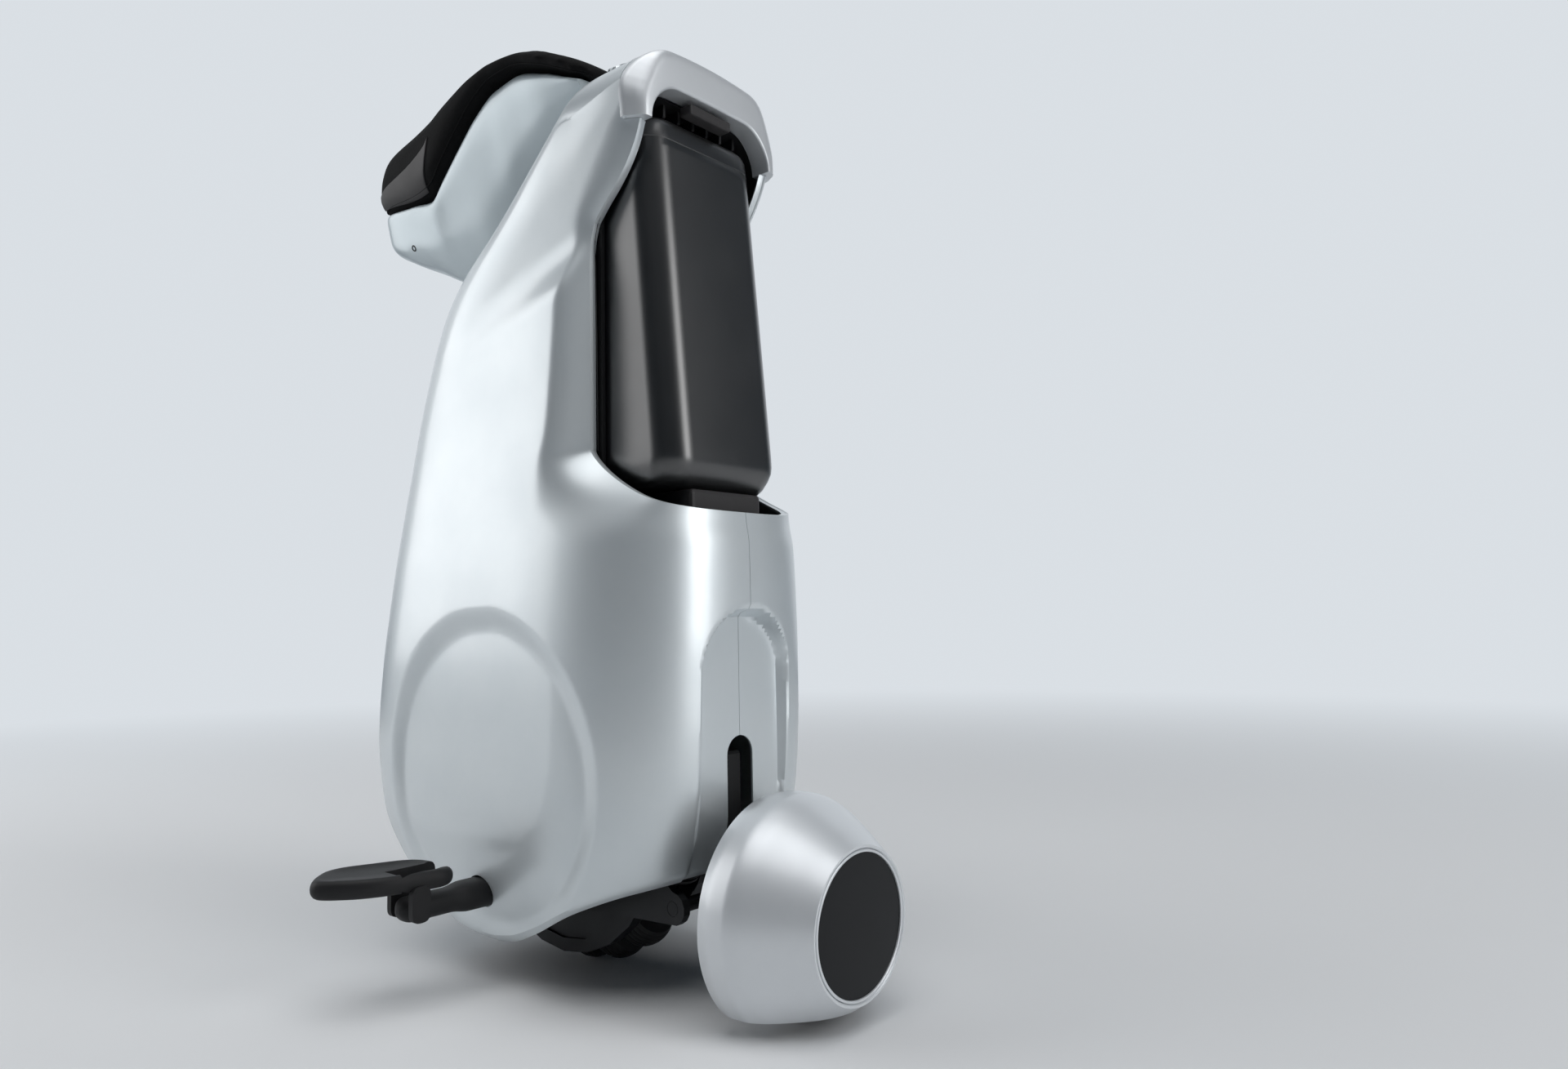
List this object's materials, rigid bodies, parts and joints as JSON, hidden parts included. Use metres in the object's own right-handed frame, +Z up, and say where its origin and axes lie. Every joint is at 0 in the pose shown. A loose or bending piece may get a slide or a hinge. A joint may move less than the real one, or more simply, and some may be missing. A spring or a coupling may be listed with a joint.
{
  "type": "ride-on self-balancing mobility device",
  "caption": "Ride-on self-balancing mobility device: saddle over a slim pearl-white body with lift-out battery, folding footrests, roller-ringed main wheel and covered tail wheel.",
  "frame": {"origin": "on the floor under the main axle, in the middle of the footprint", "axes": "+Z up, -Y the way a rider faces, +X the rider's left"},
  "size_m": [0.432, 0.524, 0.7448],
  "materials": {
    "pearl_paint": "pearl white paint, satin to gloss",
    "silver_paint": "silver metallic paint",
    "black_plastic": "satin black with fine texture",
    "grey_plastic": "matte dark grey",
    "saddle_cover": "matte black synthetic leather",
    "roller_rubber": "matte black",
    "bare_metal": "machined"
  },
  "bodies": {
    "chassis": {"left_body_shell": "pearl_paint", "right_body_shell": "pearl_paint", "handle_arch": "silver_paint", "bay_liner": "black_plastic", "connector_plinth": "grey_plastic", "saddle_cushion": "saddle_cover", "saddle_shell": "pearl_paint", "left_saddle_trim": "grey_plastic", "right_saddle_trim": "grey_plastic", "saddle_post": "bare_metal", "main_axle": "bare_metal", "left_frame_plate": "bare_metal", "right_frame_plate": "bare_metal", "left_drive_motor": "black_plastic", "right_drive_motor": "black_plastic", "frame_bridge": "bare_metal", "spine_column": "bare_metal", "control_unit": "grey_plastic", "left_footrest_arm": "black_plastic", "right_footrest_arm": "black_plastic", "tail_pivot_pin": "bare_metal"},
    "battery": {"battery_pack": "black_plastic"},
    "latch": {"battery_latch": "grey_plastic"},
    "left_footrest": {"left_footrest_pad": "black_plastic"},
    "right_footrest": {"right_footrest_pad": "black_plastic"},
    "main_wheel": {"ring_core": "bare_metal"},
    "left_drive": {"left_drive_disc": "bare_metal"},
    "right_drive": {"right_drive_disc": "bare_metal"},
    "tail_unit": {"tail_arm": "black_plastic", "tail_cover": "silver_paint", "tail_disc": "black_plastic"},
    "tail_wheel": {"tail_hub": "bare_metal"},
    "main_roller_01": {"main_roller_01": "roller_rubber"},
    "main_roller_02": {"main_roller_02": "roller_rubber"},
    "main_roller_03": {"main_roller_03": "roller_rubber"},
    "main_roller_04": {"main_roller_04": "roller_rubber"},
    "main_roller_05": {"main_roller_05": "roller_rubber"},
    "main_roller_06": {"main_roller_06": "roller_rubber"},
    "main_roller_07": {"main_roller_07": "roller_rubber"},
    "main_roller_08": {"main_roller_08": "roller_rubber"},
    "main_roller_09": {"main_roller_09": "roller_rubber"},
    "main_roller_10": {"main_roller_10": "roller_rubber"},
    "main_roller_11": {"main_roller_11": "roller_rubber"},
    "main_roller_12": {"main_roller_12": "roller_rubber"},
    "main_roller_13": {"main_roller_13": "roller_rubber"},
    "main_roller_14": {"main_roller_14": "roller_rubber"},
    "main_roller_15": {"main_roller_15": "roller_rubber"},
    "main_roller_16": {"main_roller_16": "roller_rubber"},
    "main_roller_17": {"main_roller_17": "roller_rubber"},
    "main_roller_18": {"main_roller_18": "roller_rubber"},
    "main_roller_19": {"main_roller_19": "roller_rubber"},
    "main_roller_20": {"main_roller_20": "roller_rubber"},
    "tail_roller_1": {"tail_roller_1": "roller_rubber"},
    "tail_roller_2": {"tail_roller_2": "roller_rubber"},
    "tail_roller_3": {"tail_roller_3": "roller_rubber"},
    "tail_roller_4": {"tail_roller_4": "roller_rubber"},
    "tail_roller_5": {"tail_roller_5": "roller_rubber"},
    "tail_roller_6": {"tail_roller_6": "roller_rubber"},
    "tail_roller_7": {"tail_roller_7": "roller_rubber"},
    "tail_roller_8": {"tail_roller_8": "roller_rubber"}
  },
  "joints": [
    {"name": "battery_slide", "type": "slide", "parent": "chassis", "child": "battery", "axis": [0, 1, 0], "range_m": [0, 0.16]},
    {"name": "latch_slide", "type": "slide", "parent": "chassis", "child": "latch", "axis": [0, -1, 0], "range_m": [0, 0.003], "stiffness_N_per_m": 400, "springref_m": -0.002},
    {"name": "left_footrest_fold", "type": "hinge", "parent": "chassis", "child": "left_footrest", "pos_m": [0.158, -0.014, 0.069], "axis": [0, -1, 0], "range_deg": [0, 80]},
    {"name": "right_footrest_fold", "type": "hinge", "parent": "chassis", "child": "right_footrest", "pos_m": [-0.158, -0.014, 0.069], "axis": [0, 1, 0], "range_deg": [0, 80]},
    {"name": "main_wheel_roll", "type": "hinge", "parent": "chassis", "child": "main_wheel", "pos_m": [0, 0, 0.118], "axis": [1, 0, 0], "continuous": true},
    {"name": "left_drive_spin", "type": "hinge", "parent": "chassis", "child": "left_drive", "pos_m": [0, 0, 0.118], "axis": [1, 0, 0], "continuous": true},
    {"name": "right_drive_spin", "type": "hinge", "parent": "chassis", "child": "right_drive", "pos_m": [0, 0, 0.118], "axis": [1, 0, 0], "continuous": true},
    {"name": "tail_swing", "type": "hinge", "parent": "chassis", "child": "tail_unit", "pos_m": [0, 0.134, 0.068], "axis": [1, 0, 0], "range_deg": [0, 10]},
    {"name": "tail_wheel_roll", "type": "hinge", "parent": "tail_unit", "child": "tail_wheel", "pos_m": [0, 0.216, 0.068], "axis": [0, 1, 0], "continuous": true},
    {"name": "main_roller_01_spin", "type": "hinge", "parent": "main_wheel", "child": "main_roller_01", "pos_m": [0, 0, 0.022], "axis": [0, 1, 0], "continuous": true},
    {"name": "main_roller_02_spin", "type": "hinge", "parent": "main_wheel", "child": "main_roller_02", "pos_m": [0, 0.02967, 0.0267], "axis": [0, 0.9511, 0.309], "continuous": true},
    {"name": "main_roller_03_spin", "type": "hinge", "parent": "main_wheel", "child": "main_roller_03", "pos_m": [0, 0.05643, 0.04033], "axis": [0, 0.809, 0.5878], "continuous": true},
    {"name": "main_roller_04_spin", "type": "hinge", "parent": "main_wheel", "child": "main_roller_04", "pos_m": [0, 0.07767, 0.06157], "axis": [0, 0.5878, 0.809], "continuous": true},
    {"name": "main_roller_05_spin", "type": "hinge", "parent": "main_wheel", "child": "main_roller_05", "pos_m": [0, 0.0913, 0.08833], "axis": [0, 0.309, 0.9511], "continuous": true},
    {"name": "main_roller_06_spin", "type": "hinge", "parent": "main_wheel", "child": "main_roller_06", "pos_m": [0, 0.096, 0.118], "axis": [0, 0, 1], "continuous": true},
    {"name": "main_roller_07_spin", "type": "hinge", "parent": "main_wheel", "child": "main_roller_07", "pos_m": [0, 0.0913, 0.14767], "axis": [0, -0.309, 0.9511], "continuous": true},
    {"name": "main_roller_08_spin", "type": "hinge", "parent": "main_wheel", "child": "main_roller_08", "pos_m": [0, 0.07767, 0.17443], "axis": [0, -0.5878, 0.809], "continuous": true},
    {"name": "main_roller_09_spin", "type": "hinge", "parent": "main_wheel", "child": "main_roller_09", "pos_m": [0, 0.05643, 0.19567], "axis": [0, -0.809, 0.5878], "continuous": true},
    {"name": "main_roller_10_spin", "type": "hinge", "parent": "main_wheel", "child": "main_roller_10", "pos_m": [0, 0.02967, 0.2093], "axis": [0, -0.9511, 0.309], "continuous": true},
    {"name": "main_roller_11_spin", "type": "hinge", "parent": "main_wheel", "child": "main_roller_11", "pos_m": [0, 0, 0.214], "axis": [0, -1, 0], "continuous": true},
    {"name": "main_roller_12_spin", "type": "hinge", "parent": "main_wheel", "child": "main_roller_12", "pos_m": [0, -0.02967, 0.2093], "axis": [0, -0.9511, -0.309], "continuous": true},
    {"name": "main_roller_13_spin", "type": "hinge", "parent": "main_wheel", "child": "main_roller_13", "pos_m": [0, -0.05643, 0.19567], "axis": [0, -0.809, -0.5878], "continuous": true},
    {"name": "main_roller_14_spin", "type": "hinge", "parent": "main_wheel", "child": "main_roller_14", "pos_m": [0, -0.07767, 0.17443], "axis": [0, -0.5878, -0.809], "continuous": true},
    {"name": "main_roller_15_spin", "type": "hinge", "parent": "main_wheel", "child": "main_roller_15", "pos_m": [0, -0.0913, 0.14767], "axis": [0, -0.309, -0.9511], "continuous": true},
    {"name": "main_roller_16_spin", "type": "hinge", "parent": "main_wheel", "child": "main_roller_16", "pos_m": [0, -0.096, 0.118], "axis": [0, 0, -1], "continuous": true},
    {"name": "main_roller_17_spin", "type": "hinge", "parent": "main_wheel", "child": "main_roller_17", "pos_m": [0, -0.0913, 0.08833], "axis": [0, 0.309, -0.9511], "continuous": true},
    {"name": "main_roller_18_spin", "type": "hinge", "parent": "main_wheel", "child": "main_roller_18", "pos_m": [0, -0.07767, 0.06157], "axis": [0, 0.5878, -0.809], "continuous": true},
    {"name": "main_roller_19_spin", "type": "hinge", "parent": "main_wheel", "child": "main_roller_19", "pos_m": [0, -0.05643, 0.04033], "axis": [0, 0.809, -0.5878], "continuous": true},
    {"name": "main_roller_20_spin", "type": "hinge", "parent": "main_wheel", "child": "main_roller_20", "pos_m": [0, -0.02967, 0.0267], "axis": [0, 0.9511, -0.309], "continuous": true},
    {"name": "tail_roller_1_spin", "type": "hinge", "parent": "tail_wheel", "child": "tail_roller_1", "pos_m": [0, 0.216, 0.012], "axis": [1, 0, 0], "continuous": true},
    {"name": "tail_roller_2_spin", "type": "hinge", "parent": "tail_wheel", "child": "tail_roller_2", "pos_m": [0.0396, 0.216, 0.0284], "axis": [0.7071, 0, 0.7071], "continuous": true},
    {"name": "tail_roller_3_spin", "type": "hinge", "parent": "tail_wheel", "child": "tail_roller_3", "pos_m": [0.056, 0.216, 0.068], "axis": [0, 0, 1], "continuous": true},
    {"name": "tail_roller_4_spin", "type": "hinge", "parent": "tail_wheel", "child": "tail_roller_4", "pos_m": [0.0396, 0.216, 0.1076], "axis": [-0.7071, 0, 0.7071], "continuous": true},
    {"name": "tail_roller_5_spin", "type": "hinge", "parent": "tail_wheel", "child": "tail_roller_5", "pos_m": [0, 0.216, 0.124], "axis": [-1, 0, 0], "continuous": true},
    {"name": "tail_roller_6_spin", "type": "hinge", "parent": "tail_wheel", "child": "tail_roller_6", "pos_m": [-0.0396, 0.216, 0.1076], "axis": [-0.7071, 0, -0.7071], "continuous": true},
    {"name": "tail_roller_7_spin", "type": "hinge", "parent": "tail_wheel", "child": "tail_roller_7", "pos_m": [-0.056, 0.216, 0.068], "axis": [0, 0, -1], "continuous": true},
    {"name": "tail_roller_8_spin", "type": "hinge", "parent": "tail_wheel", "child": "tail_roller_8", "pos_m": [-0.0396, 0.216, 0.0284], "axis": [0.7071, 0, -0.7071], "continuous": true}
  ],
  "couplings": [
    {"joint": "left_drive_spin", "follows": "main_wheel_roll", "ratio": 1},
    {"joint": "right_drive_spin", "follows": "main_wheel_roll", "ratio": 1},
    {"joint": "main_roller_02_spin", "follows": "main_roller_01_spin", "ratio": 1},
    {"joint": "main_roller_03_spin", "follows": "main_roller_01_spin", "ratio": 1},
    {"joint": "main_roller_04_spin", "follows": "main_roller_01_spin", "ratio": 1},
    {"joint": "main_roller_05_spin", "follows": "main_roller_01_spin", "ratio": 1},
    {"joint": "main_roller_06_spin", "follows": "main_roller_01_spin", "ratio": 1},
    {"joint": "main_roller_07_spin", "follows": "main_roller_01_spin", "ratio": 1},
    {"joint": "main_roller_08_spin", "follows": "main_roller_01_spin", "ratio": 1},
    {"joint": "main_roller_09_spin", "follows": "main_roller_01_spin", "ratio": 1},
    {"joint": "main_roller_10_spin", "follows": "main_roller_01_spin", "ratio": 1},
    {"joint": "main_roller_11_spin", "follows": "main_roller_01_spin", "ratio": 1},
    {"joint": "main_roller_12_spin", "follows": "main_roller_01_spin", "ratio": 1},
    {"joint": "main_roller_13_spin", "follows": "main_roller_01_spin", "ratio": 1},
    {"joint": "main_roller_14_spin", "follows": "main_roller_01_spin", "ratio": 1},
    {"joint": "main_roller_15_spin", "follows": "main_roller_01_spin", "ratio": 1},
    {"joint": "main_roller_16_spin", "follows": "main_roller_01_spin", "ratio": 1},
    {"joint": "main_roller_17_spin", "follows": "main_roller_01_spin", "ratio": 1},
    {"joint": "main_roller_18_spin", "follows": "main_roller_01_spin", "ratio": 1},
    {"joint": "main_roller_19_spin", "follows": "main_roller_01_spin", "ratio": 1},
    {"joint": "main_roller_20_spin", "follows": "main_roller_01_spin", "ratio": 1}
  ]
}
